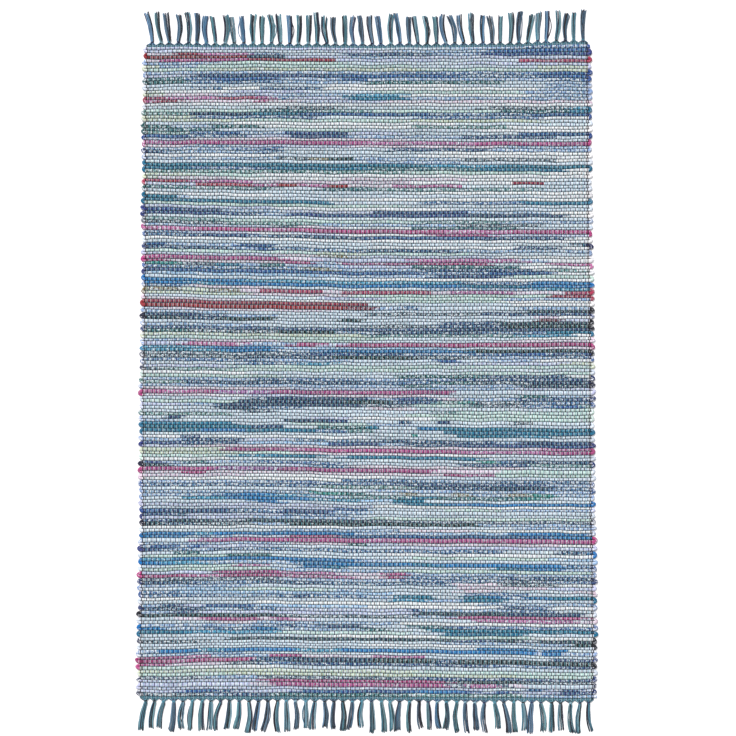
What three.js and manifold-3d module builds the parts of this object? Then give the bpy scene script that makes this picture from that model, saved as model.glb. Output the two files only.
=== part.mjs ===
// A flat-woven rag rug with a knotted fringe at both ends, lying flat.
// Millimetres, +X across the rug, +Y along it towards its upper end, +Z up, with the origin on the
// floor under the middle of the rug. Three solids: the ribbed cloth of rag rows, and at each end the
// narrow yarn header with the tassels that are knotted from the warp.
import * as THREE from "three";
import { mergeVertices } from "three/addons/utils/BufferGeometryUtils.js";
import Module from "manifold-3d";

// The cloth
const WARP_WIDTH = 1200; // between the outermost warp ends
const ROWS = 202; // rows of rag, counted from the upper end
const ROW_PITCH = 8.66;
const CLOTH_THICK = 7;
const FURROW_DEPTH = 1.4; // of the furrow between two rows, on either face
const CREST_SHARE = 0.5; // of a row's pitch that is level on top

// The selvedges, where each rag turns back into the next row
const SELVEDGE = 3; // from the outermost warp end to the furrow between two turns
const TURN_REACH = 11; // how far the longest turn stands out past that furrow
const SHORTEST_TURN = 0.6; // as a share of the longest

// The headers and the fringe
const PIECE_GAP = 0.3; // between the cloth and each header
const HEADER_LENGTH = 8;
const HEADER_THICK = 4;
const FINEST_EDGE = 0.02; // of the joined headers and tassels
const TASSELS = 48; // at each end, each of 12 warp ends
const TASSEL_LENGTH = 86; // from the header to the tip of the longest
const LENGTH_SPREAD = 12; // the shortest tassel is this much shorter
const ROOT_DRIFT = 2; // how far a knot sits from its even place
const LEAN_SPREAD = 4; // degrees either side of the fringe's own lie
const BEND_SPREAD = 5; // how far a tassel bows to one side at its middle
const LOCKS_PER_TASSEL = 3;
const LOCK_ROOT = 9.5; // from the header, inside the knot
const LOCK_SPREAD = 5; // a lock is up to this much shorter than its tassel
const LEAST_OPEN = 0.85; // how far a tassel's locks stand apart, as a share of their table's apart
const MOST_OPEN = 1.15;
const KNOT_TOP = 0.6; // a knot's width at its top, as a share of its width on the floor

// How the combed fringe lies: the lean in degrees, towards +X at the tips, at a share of the width.
const UPPER_LIE = [
  { share: 0.0, lean: -11 },
  { share: 0.06, lean: -5 },
  { share: 0.2, lean: -3 },
  { share: 0.36, lean: 2 },
  { share: 0.45, lean: -3 },
  { share: 0.55, lean: -3 },
  { share: 0.63, lean: -7 },
  { share: 0.72, lean: -8 },
  { share: 0.8, lean: 0 },
  { share: 0.86, lean: 8 },
  { share: 0.93, lean: 7 },
  { share: 1.0, lean: 3 },
];
const LOWER_LIE = [
  { share: 0.0, lean: -9 },
  { share: 0.1, lean: -5 },
  { share: 0.24, lean: -8 },
  { share: 0.34, lean: -2 },
  { share: 0.46, lean: -4 },
  { share: 0.52, lean: 3 },
  { share: 0.58, lean: -3 },
  { share: 0.65, lean: 6 },
  { share: 0.71, lean: 0 },
  { share: 0.79, lean: 6 },
  { share: 0.88, lean: 0 },
  { share: 1.0, lean: 2 },
];

// A tassel's gathered warp and its knot, from the header outwards. Each row is one cross-section.
const KNOT_SECTIONS = [
  { along: -2, half: 9.5, high: 3.2 },
  { along: 5, half: 3.2, high: 4.2 },
  { along: 8, half: 4.8, high: 6.2 },
  { along: 11.5, half: 4.2, high: 4.6 },
];

// A lock of yarns, from inside the knot to its tip. apart is its distance from the tassel's middle.
const LOCK_SECTIONS = [
  { share: 0, half: 1.2, high: 3.0, apart: 2.8 },
  { share: 0.5, half: 2.0, high: 3.4, apart: 4.8 },
  { share: 1, half: 1.3, high: 2.0, apart: 5.4 },
];

const RUG_HALF = (ROWS * ROW_PITCH) / 2;
const TASSEL_PITCH = WARP_WIDTH / TASSELS;

const wasm = await Module();
wasm.setup();

// The same number from 0 to 1 each time for one piece and one use.
function chance(index, use) {
  const wave = Math.sin(index * 12.9898 + use * 78.233) * 43758.5453;
  return wave - Math.floor(wave);
}

// The same, from -1 to 1.
function sway(index, use) {
  return 2 * chance(index, use) - 1;
}

// The lean of the fringe at a share of the width, between the rows of its table.
function leanAt(lie, share) {
  const next = lie.findIndex((row) => row.share >= share);
  if (next <= 0) {
    return lie[0].lean;
  }
  const from = lie[next - 1];
  const to = lie[next];
  const part = (share - from.share) / (to.share - from.share);
  return from.lean + (to.lean - from.lean) * part;
}

// A closed solid through rings of points that all have the same count, flat at both ends.
function loftGeometry(rings) {
  const sides = rings[0].length;
  const positions = rings.flat().flatMap((point) => [point.x, point.y, point.z]);
  const indices = [];
  for (let ring = 0; ring + 1 < rings.length; ring++) {
    for (let side = 0; side < sides; side++) {
      const here = ring * sides + side;
      const beside = ring * sides + ((side + 1) % sides);
      indices.push(here, beside, beside + sides, here, beside + sides, here + sides);
    }
  }
  const last = (rings.length - 1) * sides;
  for (let side = 1; side + 1 < sides; side++) {
    indices.push(0, side + 1, side);
    indices.push(last, last + side, last + side + 1);
  }
  const geometry = new THREE.BufferGeometry();
  geometry.setAttribute("position", new THREE.Float32BufferAttribute(positions, 3));
  geometry.setIndex(indices);
  return geometry;
}

// A three.js geometry as a solid that can be joined to others.
function solidOf(geometry) {
  const bare = geometry.clone();
  bare.deleteAttribute("normal");
  bare.deleteAttribute("uv");
  const merged = mergeVertices(bare);
  return new wasm.Manifold(
    new wasm.Mesh({
      numProp: 3,
      vertProperties: merged.attributes.position.array,
      triVerts: new Uint32Array(merged.index.array),
    }),
  );
}

// A joined solid as a three.js geometry again.
function geometryOf(solid) {
  const mesh = solid.simplify(FINEST_EDGE).getMesh();
  const geometry = new THREE.BufferGeometry();
  geometry.setAttribute("position", new THREE.BufferAttribute(mesh.vertProperties, 3));
  geometry.setIndex(new THREE.BufferAttribute(mesh.triVerts, 1));
  geometry.computeVertexNormals();
  return geometry;
}

// How far the cloth reaches past the outermost warp end on one side, at a place counted in rows from
// the upper end. On the left the rags turn from rows 0, 2, 4 into the next, on the right from 1, 3, 5.
function selvedgeAt(place, onLeft) {
  const turn = (place - (onLeft ? 0 : 1)) / 2;
  const number = Math.floor(turn);
  const across = 2 * (turn - number) - 1;
  const size = SHORTEST_TURN + (1 - SHORTEST_TURN) * chance(number, onLeft ? 1 : 2);
  return SELVEDGE + TURN_REACH * size * Math.sqrt(1 - across * across);
}

// The cloth: a box with three lines of points across each row, at the furrow and at both sides of the
// crest, moved so that every row of rag is a rib on both faces and its turns scallop the selvedges.
function clothGeometry() {
  const steps = [
    { share: 0, depth: FURROW_DEPTH },
    { share: (1 - CREST_SHARE) / 2, depth: 0 },
    { share: (1 + CREST_SHARE) / 2, depth: 0 },
  ];
  const lines = ROWS * steps.length;
  const geometry = new THREE.BoxGeometry(2, lines, 2, 1, lines, 1);
  const points = geometry.attributes.position;
  for (let point = 0; point < points.count; point++) {
    const line = Math.round(lines / 2 - points.getY(point));
    const step = steps[line % steps.length];
    const place = Math.floor(line / steps.length) + step.share;
    const side = points.getX(point);
    const x = side * (WARP_WIDTH / 2 + selvedgeAt(place, side < 0));
    const z = points.getZ(point) > 0 ? CLOTH_THICK - step.depth : step.depth;
    points.setXYZ(point, x, RUG_HALF - place * ROW_PITCH, z);
  }
  geometry.computeVertexNormals();
  return geometry;
}

// One tassel at the origin, hanging towards -Y and lying on the floor.
function tasselSolids(number, lean, bend, length) {
  const knot = KNOT_SECTIONS.map((section) => [
    new THREE.Vector3(-section.half, -section.along, 0),
    new THREE.Vector3(section.half, -section.along, 0),
    new THREE.Vector3(section.half * KNOT_TOP, -section.along, section.high),
    new THREE.Vector3(-section.half * KNOT_TOP, -section.along, section.high),
  ]);
  const solids = [solidOf(loftGeometry(knot))];
  const open = LEAST_OPEN + (MOST_OPEN - LEAST_OPEN) * chance(number, 7);
  for (let lock = 0; lock < LOCKS_PER_TASSEL; lock++) {
    const side = lock - (LOCKS_PER_TASSEL - 1) / 2;
    const reach = length - LOCK_SPREAD * chance(number * LOCKS_PER_TASSEL + lock, 8);
    const rings = LOCK_SECTIONS.map((section) => {
      const along = section.share * (reach - LOCK_ROOT);
      const bow = bend * Math.sin(Math.PI * section.share);
      const across = side * section.apart * open + bow;
      const x = across * Math.cos(lean) + along * Math.sin(lean);
      const y = across * Math.sin(lean) - along * Math.cos(lean) - LOCK_ROOT;
      return [
        new THREE.Vector3(x - section.half, y, 0),
        new THREE.Vector3(x + section.half, y, 0),
        new THREE.Vector3(x, y, section.high),
      ];
    });
    solids.push(solidOf(loftGeometry(rings)));
  }
  return solids;
}

// A header with its tassels. The upper one is turned half round, so its tassels hang towards +Y.
function fringeGeometry(lie, isUpper) {
  const strip = new THREE.BoxGeometry(WARP_WIDTH, HEADER_LENGTH, HEADER_THICK);
  strip.translate(0, HEADER_LENGTH / 2, HEADER_THICK / 2);
  const solids = [solidOf(strip)];
  for (let tassel = 0; tassel < TASSELS; tassel++) {
    const number = tassel + (isUpper ? 0 : TASSELS);
    const share = (tassel + 0.5) / TASSELS;
    const lean = leanAt(lie, share) + LEAN_SPREAD * sway(number, 3);
    const bend = BEND_SPREAD * sway(number, 4);
    const length = TASSEL_LENGTH - LENGTH_SPREAD * chance(number, 5);
    const x = -WARP_WIDTH / 2 + (tassel + 0.5) * TASSEL_PITCH + ROOT_DRIFT * sway(number, 6);
    const turned = isUpper ? -1 : 1;
    for (const solid of tasselSolids(number, THREE.MathUtils.degToRad(turned * lean), bend, length)) {
      solids.push(solid.translate([turned * x, 0, 0]));
    }
  }
  return geometryOf(wasm.Manifold.union(solids));
}

const ragMaterial = new THREE.MeshStandardMaterial({ color: 0xa9bccb, roughness: 0.95, metalness: 0 });
const yarnMaterial = new THREE.MeshStandardMaterial({ color: 0x4c7a88, roughness: 0.95, metalness: 0 });

const rug = new THREE.Group();

const cloth = new THREE.Mesh(clothGeometry(), ragMaterial);
cloth.name = "rug_cloth";
rug.add(cloth);

const upperFringe = new THREE.Mesh(fringeGeometry(UPPER_LIE, true), yarnMaterial);
upperFringe.name = "fringe_upper";
upperFringe.rotation.z = Math.PI;
upperFringe.position.y = RUG_HALF + PIECE_GAP + HEADER_LENGTH;
rug.add(upperFringe);

const lowerFringe = new THREE.Mesh(fringeGeometry(LOWER_LIE, false), yarnMaterial);
lowerFringe.name = "fringe_lower";
lowerFringe.position.y = -RUG_HALF - PIECE_GAP - HEADER_LENGTH;
rug.add(lowerFringe);

export default rug;
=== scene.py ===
# A rag rug, woven flat from strips of old cloth under a coloured cotton warp, with a knotted fringe
# at both ends. Metres, in the solid model's frame: X across, Y towards the upper end, Z up.
import math

import bpy
import numpy as np
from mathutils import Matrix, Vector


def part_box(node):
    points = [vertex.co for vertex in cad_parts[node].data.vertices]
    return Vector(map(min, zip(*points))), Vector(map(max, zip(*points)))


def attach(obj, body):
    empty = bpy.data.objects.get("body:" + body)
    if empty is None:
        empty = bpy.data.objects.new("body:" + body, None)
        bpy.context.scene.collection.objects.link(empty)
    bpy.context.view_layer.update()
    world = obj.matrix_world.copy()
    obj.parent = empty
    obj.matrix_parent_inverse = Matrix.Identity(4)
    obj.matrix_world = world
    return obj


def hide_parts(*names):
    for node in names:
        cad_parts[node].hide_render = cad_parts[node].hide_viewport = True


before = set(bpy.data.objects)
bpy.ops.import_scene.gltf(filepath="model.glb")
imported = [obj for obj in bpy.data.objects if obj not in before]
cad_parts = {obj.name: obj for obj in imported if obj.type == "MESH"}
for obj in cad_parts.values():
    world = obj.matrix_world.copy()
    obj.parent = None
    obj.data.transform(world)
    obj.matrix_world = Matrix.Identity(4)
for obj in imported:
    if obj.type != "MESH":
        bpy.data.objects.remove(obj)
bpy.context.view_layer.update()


# The rags
# Strips torn from cotton cloth and sewn end to end, which lie pressed flat in rows, and turn back at
# each selvedge into the next row. Most are off-white sheeting, the rest whatever there was.
cloth_low, cloth_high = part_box("rug_cloth")
ROWS = 202  # counted from the upper end
CLOTH_TOP = cloth_high[1]
CLOTH_END = cloth_low[1]
CLOTH_LENGTH = CLOTH_TOP - CLOTH_END
ROW_PITCH = CLOTH_LENGTH / ROWS
WARP_HALF = 0.6  # from the rug's middle to the outermost warp ends
REPEAT_WIDTH = 0.0125  # of the warp, from one colour to where it comes again
REPEAT_ENDS = 6
END_PITCH = REPEAT_WIDTH / REPEAT_ENDS  # every other end pinches a rag from above
MID_HEIGHT = cloth_high[2] / 2
RAG_HALF_WIDTH = 0.0041
RAG_HALF_THICK = 0.0029
FLAT_SHARE = 0.66  # of a rag's width that lies level, above and below
LEAST_FULL = 0.9  # how wide and thick a rag is where it is thinnest, as a share of those sizes
MOST_FULL = 1.03
RAG_SIDES = 6
ROW_SPANS = 70  # steps of one row between the selvedges
TURN_SPANS = 4  # steps of the turn at either end of it
TURN_ROOT = 0.003  # from the outermost warp end to where a turn starts to bend
TURN_REACH = 0.011  # from there to the outside of the longest turn
SHORTEST_TURN = 0.55  # as a share of that
CLOSE = 0.00001  # points nearer than this count as one

# How far the rows sag towards the lower end, in millimetres: at a share of the way down, at the left
# selvedge, a quarter, half and three quarters of the way across, and at the right selvedge.
SAG = np.array([
    [0.00, 0, 2, 3, 1, -7],
    [0.02, 0, -3, -1, -1, 1],
    [0.085, 0, -1, 1, 1, 1],
    [0.185, 0, 1, 3, 5, 7],
    [0.24, 0, 7, 11, 11, 11],
    [0.30, 0, 4, 11, 12, 12],
    [0.39, 0, 7, 12, 12, 13],
    [0.46, 0, 4, 7, 7, 5],
    [0.53, 0, 3, 5, 4, 5],
    [0.59, 0, 1, 4, 9, 12],
    [0.65, 0, -1, 5, 9, 11],
    [0.70, 0, 0, 8, 12, 12],
    [0.755, 0, -1, 0, 1, 3],
    [0.79, 0, -4, 4, 7, 11],
    [0.85, 0, -1, 3, 5, 8],
    [0.91, 0, 0, 3, 7, 11],
    [0.94, 0, -8, -5, 0, 8],
    [0.965, 0, -4, 0, 4, 8],
    [1.00, 0, 0, 1, 3, 5],
])

# The cloths that the rags were torn from: colour, and how flecked with white it is, from 0 to 1.
# The one named pebble is printed with pale stones, and the one named lined with a pencil line.
CLOTHS = {
    "white": ("#f8fafc", 0.0),
    "lined": ("#f3f4f6", 0.0),
    "frost": ("#d2dfec", 0.3),
    "mint": ("#c6e0d4", 0.3),
    "sky": ("#9ec2e8", 0.3),
    "mauve": ("#bec2e2", 0.35),
    "cloud": ("#86a2cc", 0.45),
    "dusk": ("#406298", 0.4),
    "moss": ("#5e8680", 0.4),
    "heather": ("#40465c", 0.42),
    "sage": ("#2c5e60", 0.25),
    "slate": ("#283c70", 0.22),
    "coal": ("#15161f", 0.1),
    "pebble": ("#171b38", 0.0),
    "navy": ("#182256", 0.08),
    "indigo": ("#2c3878", 0.08),
    "royal": ("#264c90", 0.08),
    "azure": ("#0e6cae", 0.06),
    "aqua": ("#3f8fb4", 0.18),
    "teal": ("#08688a", 0.06),
    "jade": ("#268c80", 0.15),
    "lime": ("#ccd6b8", 0.35),
    "tan": ("#86754c", 0.4),
    "crimson": ("#9c0418", 0.02),
    "maroon": ("#741834", 0.1),
    "coral": ("#aa3452", 0.08),
    "rose": ("#b03e7c", 0.1),
    "orchid": ("#a05e98", 0.25),
    "pink": ("#ba6298", 0.2),
    "blush": ("#e2cada", 0.35),
}

# What the weaver used where the chart below says nothing.
PLAIN = {"white": 0.34, "lined": 0.1, "frost": 0.24, "mint": 0.14, "mauve": 0.1, "cloud": 0.08}

# The weaver's chart: for each row, the cloths from left to right, each with where it ends, in
# hundredths of the rug's width. Where it says plain or nothing, the cloth is one of those above.
CHART = {
    0: "mauve 50, frost 70, cloud 84, dusk 100",
    1: "mauve 6, frost 40, mauve 56, cloud 77, royal 100",
    2: "blush 7, crimson 13, pink 24, dusk 32, frost 46, slate 66, cloud 76, indigo 100",
    3: "crimson 23, navy 31, mauve 46, cloud 60, mauve 100",
    4: "blush 3, rose 23, crimson 43, mauve 66, frost 84, coral 100",
    5: "cloud 16, mint 46, frost 70, mauve 100",
    6: "lime 3, cloud 12, mint 60, frost 88, lime 100",
    7: "mint 15, lime 62, mint 88, lime 100",
    8: "cloud 55, dusk 90, royal 100",
    9: "mauve 12, indigo 42, royal 72, dusk 90, royal 100",
    10: "sage 8, dusk 15, royal 30, cloud 44, royal 50, cloud 75, plain 90, dusk 100",
    11: "sage 8, dusk 28, cloud 48, sage 80, plain 90, cloud 100",
    12: "frost 40, white 70, frost 90, cloud 100",
    13: "frost 12, dusk 19, white 27, dusk 42, white 90, cloud 100",
    14: "lime 3, white 18, mauve 36, frost 52, mint 84, cloud 100",
    15: "lime 3, blush 16, mauve 30, cloud 46, aqua 58, white 88, cloud 100",
    16: "coral 6, pink 17, coral 25, pink 30, dusk 35, mauve 45, teal 60, cloud 100",
    17: "pink 3, coral 8, blush 25, rose 29, blush 36, mauve 54, blush 100",
    18: "white 100",
    19: "frost 30, heather 44, frost 76, heather 96, aqua 100",
    20: "mint 25, sage 38, moss 52, mint 80, sage 96, teal 100",
    21: "moss 12, navy 25, teal 36, royal 66, dusk 88, royal 100",
    22: "lime 12, dusk 40, frost 62, dusk 90",
    23: "lime 22, mint 58, lime 90",
    24: "frost 20, white 70, frost 100",
    25: "sage 6, cloud 14, sage 26, white 60, moss 82",
    26: "sage 17, frost 32, mint 48, frost 76",
    27: "moss 10, dusk 16, royal 21, cloud 31, indigo 46, mauve 58, frost 84, royal 100",
    28: "royal 9, dusk 17, slate 21, mauve 31, indigo 44, cloud 70, slate 92",
    29: "mauve 12, blush 60",
    30: "pink 6, rose 49, pink 74, rose 100",
    31: "blush 10, cloud 22, mauve 45, blush 80",
    32: "dusk 5, cloud 22, dusk 28, royal 31, frost 56, slate 78",
    33: "slate 5, cloud 27, royal 30, frost 66",
    34: "white 30, frost 62, white 100",
    35: "cloud 28, heather 36, tan 40, coal 46, cloud 70, heather 92",
    36: "frost 50, cloud 72, frost 100",
    37: "teal 64, aqua 80, teal 100",
    38: "teal 12, dusk 28, teal 52, sage 76, teal 96",
    39: "moss 30, sage 36, moss 60, mint 92",
    40: "lime 10, mint 26, white 70",
    41: "lime 4, blush 20, white 46, blush 74",
    42: "coral 5, crimson 8, coral 11, pink 26, blush 62, white 84, crimson 92",
    43: "mauve 11, coral 24, pink 30, crimson 35, pink 41, crimson 46, blush 56, pink 72",
    44: "sage 12, moss 20, sage 30, frost 38, sage 52, moss 88",
    45: "frost 60, white 100",
    46: "white 30, frost 88",
    47: "teal 5, cloud 8, frost 40, white 70",
    48: "teal 41, frost 62, dusk 84, teal 100",
    49: "mint 60, frost 100",
    50: "mauve 30, white 70, frost 100",
    51: "indigo 16, cloud 30, mauve 50, indigo 72, cloud 90",
    52: "indigo 18, slate 25, cloud 32, indigo 72, navy 94",
    53: "frost 100",
    54: "moss 16, sage 19, mint 60, moss 82",
    55: "heather 18, moss 38, cloud 70, heather 88",
    56: "cloud 12, mauve 29, heather 35, blush 44, white 60, sage 84",
    57: "pink 12, rose 26, pink 30, rose 66, pink 82, rose 100",
    58: "dusk 11, mauve 24, white 34, mauve 44, plain 64, rose 78, mauve 100",
    59: "dusk 12, indigo 24, cloud 27, slate 50, royal 76, slate 96",
    60: "white 100",
    61: "frost 97, navy 100",
    62: "royal 6, cloud 22, royal 30, frost 52, white 84, slate 94",
    63: "slate 20, cloud 24, royal 28, dusk 48, slate 70, cloud 100",
    64: "mint 40, lime 50, mint 74, frost 100",
    65: "mauve 30, blush 40, tan 47, mauve 80",
    66: "rose 32, blush 38, mauve 60, pink 86",
    67: "rose 6, blush 32, rose 38, cloud 44, pink 58, rose 78, plain 92, pink 100",
    68: "jade 8, heather 16, teal 21, cloud 26, sage 31, cloud 45, mauve 60, sage 84",
    69: "dusk 36, tan 43, cloud 62, slate 88, plain 92, moss 98",
    70: "indigo 6, royal 62, dusk 76, royal 92",
    71: "sky 40, cloud 64, indigo 82, mint 100",
    72: "frost 50, white 100",
    73: "azure 22, aqua 70, dusk 85, azure 100",
    74: "azure 10, aqua 17, azure 72, teal 86, azure 100",
    75: "dusk 12, blush 28, frost 64, cloud 88, aqua 100",
    76: "tan 10, lime 16, tan 23, blush 27, coral 41, blush 45, coral 66, blush 70, pink 84, "
        "blush 96, coral 100",
    77: "lime 23, blush 45, mint 90, coral 100",
    78: "frost 40, mauve 55, mint 82, cloud 100",
    79: "blush 24, white 53, mint 80",
    80: "crimson 52, frost 84",
    81: "crimson 46, maroon 53, cloud 57, dusk 63, frost 84, cloud 100",
    82: "cloud 3, blush 42, frost 84, coal 100",
    83: "cloud 15, sky 19, frost 50, heather 76, slate 100",
    84: "navy 14, slate 20, cloud 32, frost 88, blush 94, white 100",
    85: "pebble 10, slate 17, coal 30, frost 44, coal 50, frost 88, maroon 94",
    86: "frost 66, slate 78, coal 100",
    87: "cloud 26, frost 50, heather 66, slate 82, coal 100",
    88: "slate 46, navy 52, slate 70, navy 100",
    89: "sage 9, heather 29, coal 42, dusk 50, slate 74, dusk 88, teal 100",
    90: "lime 50, moss 84, aqua 97",
    91: "mint 54, frost 84, white 100",
    92: "cloud 10, blush 30, mint 48, frost 78, blush 100",
    93: "mauve 9, pink 23, cloud 33, rose 40, mauve 44, rose 100",
    94: "aqua 14, azure 30, sky 44, cloud 50, sky 72, frost 88, blush 100",
    95: "aqua 17, azure 30, cloud 38, azure 73, coal 100",
    96: "heather 34, slate 60, dusk 82, royal 92, slate 100",
    97: "heather 20, slate 42, coal 60, heather 74, cloud 90, dusk 100",
    98: "dusk 26, cloud 32, cloud 46, frost 64, royal 70, frost 77, cloud 87",
    99: "frost 22, dusk 34, aqua 43, frost 70, mauve 94, lime 100",
    100: "mauve 20, mint 100",
    101: "heather 6, moss 20, mint 60, frost 100",
    102: "white 24, frost 70, mint 100",
    103: "mint 30, frost 56, sage 76, slate 94",
    104: "cloud 24, dusk 48, cloud 58, dusk 70, slate 100",
    105: "moss 8, slate 52, dusk 64, sage 73, heather 86, navy 100",
    106: "cloud 58, sage 66, cloud 84, pebble 100",
    107: "blush 34, mauve 60, cloud 84, mauve 100",
    108: "rose 5, pink 12, rose 17, orchid 30, rose 70, frost 96",
    109: "blush 17, white 24, mauve 40, blush 66, frost 84, sage 92, cloud 100",
    110: "frost 24, slate 28, navy 52, cloud 57, indigo 62, slate 67, blush 71, cloud 84, slate 100",
    111: "mint 22, navy 46, coal 56, slate 66, moss 72, jade 75, heather 86, dusk 100",
    112: "mauve 8, cloud 16, navy 48, heather 60, mint 72, sage 76, heather 84, dusk 92, royal 97, "
         "moss 100",
    113: "frost 16, navy 24, dusk 36, frost 50, blush 60, frost 92",
    114: "frost 22, heather 28, frost 64, moss 70, mint 100",
    115: "moss 22, frost 60, mint 100",
    116: "frost 4, navy 8, frost 36, mauve 46, white 64, mint 100",
    117: "cloud 8, frost 33, navy 43, indigo 47, frost 58, slate 62, frost 67, indigo 70, frost 84, "
         "heather 88, frost 100",
    118: "teal 22, frost 34, mint 52, cloud 62, frost 100",
    119: "teal 24, slate 32, frost 38, sage 50, teal 53, frost 61, azure 66, teal 100",
    120: "teal 12, azure 22, teal 37, dusk 44, moss 50, frost 66, teal 100",
    121: "frost 60, jade 62, frost 70, teal 84, aqua 92, frost 100",
    122: "white 8, slate 13, white 50, frost 100",
    123: "cloud 10, slate 23, mauve 34, dusk 54, slate 80, cloud 84, indigo 100",
    124: "indigo 9, slate 22, sky 41, indigo 53, cloud 59, slate 70, indigo 100",
    125: "mauve 12, blush 88, pink 100",
    126: "lime 19, rose 33, pink 36, rose 71, pink 90, rose 100",
    127: "lime 22, mint 34, blush 64, white 78, frost 100",
    128: "mint 20, aqua 28, teal 40, frost 44, teal 76, frost 100",
    129: "white 20, frost 76, jade 80, dusk 84, slate 100",
    130: "indigo 4, cloud 9, sage 14, cloud 24, dusk 44, frost 70, slate 86, moss 100",
    131: "pebble 6, cloud 9, frost 30, mauve 36, dusk 45, blush 84, frost 100",
    132: "rose 16, orchid 30, rose 64, blush 78, mint 100",
    133: "blush 8, rose 15, blush 67, rose 71, pink 78, mint 100",
    134: "blush 22, white 54, frost 100",
    135: "white 44, dusk 62, cloud 78, dusk 100",
    136: "cloud 28, dusk 57, slate 70, navy 76, slate 92, cloud 100",
    137: "dusk 38, moss 60, slate 76, navy 90, dusk 100",
    138: "frost 52, cloud 100",
    139: "cloud 38, jade 45, sage 52, frost 58, tan 63, frost 70, tan 75, cloud 82, tan 87, jade 93, "
         "cloud 100",
    140: "cloud 17, azure 28, aqua 36, cloud 44, moss 58, teal 64, sage 84, jade 90, frost 100",
    141: "frost 10, aqua 20, azure 38, aqua 50, sky 57, teal 64, frost 100",
    142: "frost 24, azure 32, frost 57, teal 68, azure 100",
    143: "mauve 50, white 100",
    144: "frost 14, mauve 42, royal 49, frost 66, mint 78, cloud 98",
    145: "royal 3, indigo 19, dusk 30, indigo 42, cloud 50, frost 100",
    146: "indigo 4, slate 8, mauve 30, dusk 44, frost 100",
    147: "mauve 24, cloud 50, mint 100",
    148: "slate 5, coal 16, heather 22, coal 50, heather 100",
    149: "pebble 4, slate 12, heather 24, cloud 32, coal 75, cloud 100",
    150: "white 46, frost 84, cloud 100",
    151: "frost 30, cloud 58, blush 74, white 100",
    152: "azure 10, aqua 15, azure 46, cloud 64, sky 80, azure 97, cloud 100",
    153: "azure 9, cloud 20, mauve 32, rose 43, royal 66, indigo 72, royal 90, azure 100",
    154: "frost 12, pink 18, rose 50, pink 56, rose 100",
    155: "cloud 32, blush 44, sage 48, mauve 56, blush 92, white 100",
    156: "dusk 3, royal 8, cloud 11, royal 14, mauve 30, frost 56, mauve 100",
    157: "indigo 3, dusk 10, cloud 14, slate 18, dusk 80, frost 92, slate 98, azure 100",
    158: "frost 8, sage 14, frost 56, white 90",
    159: "mint 19, sage 28, frost 60, mint 90, sky 100",
    160: "aqua 6, azure 47, cloud 54, frost 100",
    161: "azure 6, aqua 14, cloud 34, azure 62, teal 66, azure 95, dusk 100",
    162: "frost 5, mint 22, pink 29, frost 36, azure 42, teal 45, frost 78, teal 84, azure 95, "
         "cloud 100",
    163: "mint 28, cloud 56, mint 100",
    164: "mauve 16, rose 30, pink 43, blush 53, rose 58, cloud 100",
    165: "rose 11, pink 19, rose 30, pink 48, blush 54, rose 58, dusk 80, slate 100",
    166: "heather 30, cloud 56, dusk 78, heather 88, dusk 100",
    167: "slate 12, dusk 26, slate 38, dusk 68, blush 78, heather 92",
    168: "cloud 24, frost 70, blush 90, mauve 100",
    169: "frost 8, sky 20, mint 42, cloud 50, frost 70, blush 78, frost 94, blush 100",
    170: "dusk 8, sky 56, frost 72, dusk 86, frost 100",
    171: "dusk 18, cloud 28, dusk 35, slate 39, dusk 50, cloud 57, teal 66, frost 71, teal 77, "
         "azure 81, cloud 85, azure 92, teal 100",
    172: "white 10, frost 56, aqua 64, cloud 72, teal 82, frost 100",
    173: "frost 26, white 76, cloud 100",
    174: "cloud 4, slate 10, mauve 15, royal 26, sky 50, white 80, slate 86, dusk 92, white 100",
    175: "slate 14, sky 20, dusk 30, mauve 58, indigo 61, cloud 80, dusk 92, frost 100",
    176: "cloud 5, slate 12, mauve 60, coal 80, navy 97",
    177: "coal 28, heather 60, cloud 68, rose 99",
    178: "frost 9, blush 15, rose 27, blush 30, pink 34, blush 38, frost 74, pink 97, blush 100",
    179: "frost 16, blush 24, cloud 56, white 100",
    180: "cloud 31, slate 36, cloud 40, navy 50, frost 60, sage 68, dusk 100",
    181: "azure 5, cloud 14, dusk 25, azure 31, cloud 50, sage 56, frost 64, teal 100",
    182: "teal 10, aqua 30, mint 58, frost 66, teal 84, frost 100",
    183: "frost 38, white 66, mint 86, white 100",
    184: "frost 20, coal 70, slate 78, coal 84, heather 88, coal 100",
    185: "heather 14, frost 66, cloud 94, coal 100",
    186: "frost 50, white 76, frost 100",
    187: "frost 76, azure 88, cloud 90, azure 96, frost 100",
    188: "cloud 6, azure 15, aqua 20, azure 36, aqua 46, azure 88, cloud 90, azure 95, cloud 100",
    189: "cloud 24, frost 100",
    190: "rose 8, dusk 9, pink 14, cloud 27, rose 34, blush 50, pink 62, frost 88, slate 100",
    191: "rose 8, pink 12, rose 25, slate 34, navy 52, coal 66, slate 70, coal 100",
    192: "rose 5, blush 19, heather 25, dusk 33, slate 76, dusk 92, slate 100",
    193: "mint 10, white 30, frost 100",
    194: "lime 60, mint 100",
    195: "mint 20, lime 84, mint 100",
    196: "heather 15, cloud 26, heather 60, slate 100",
    197: "mauve 27, rose 69, heather 72, coal 84, heather 100",
    198: "mauve 26, blush 30, rose 69, heather 73, pink 80, heather 83, blush 85, frost 100",
    199: "mauve 76, frost 84, royal 88, mauve 91, indigo 97, mauve 100",
    200: "mauve 8, royal 16, slate 21, mauve 34, royal 60, azure 70, royal 74, mauve 77, royal 83, "
         "mauve 91, indigo 97, slate 100",
    201: "heather 14, dusk 18, slate 29, sage 60, moss 84, cloud 100",
}


def linear(code):
    """A colour code as the linear red, green and blue that a shader takes."""
    shares = np.array([int(code[i:i + 2], 16) for i in (1, 3, 5)]) / 255
    return np.where(shares <= 0.04045, shares / 12.92, ((shares + 0.055) / 1.055) ** 2.4)


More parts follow.
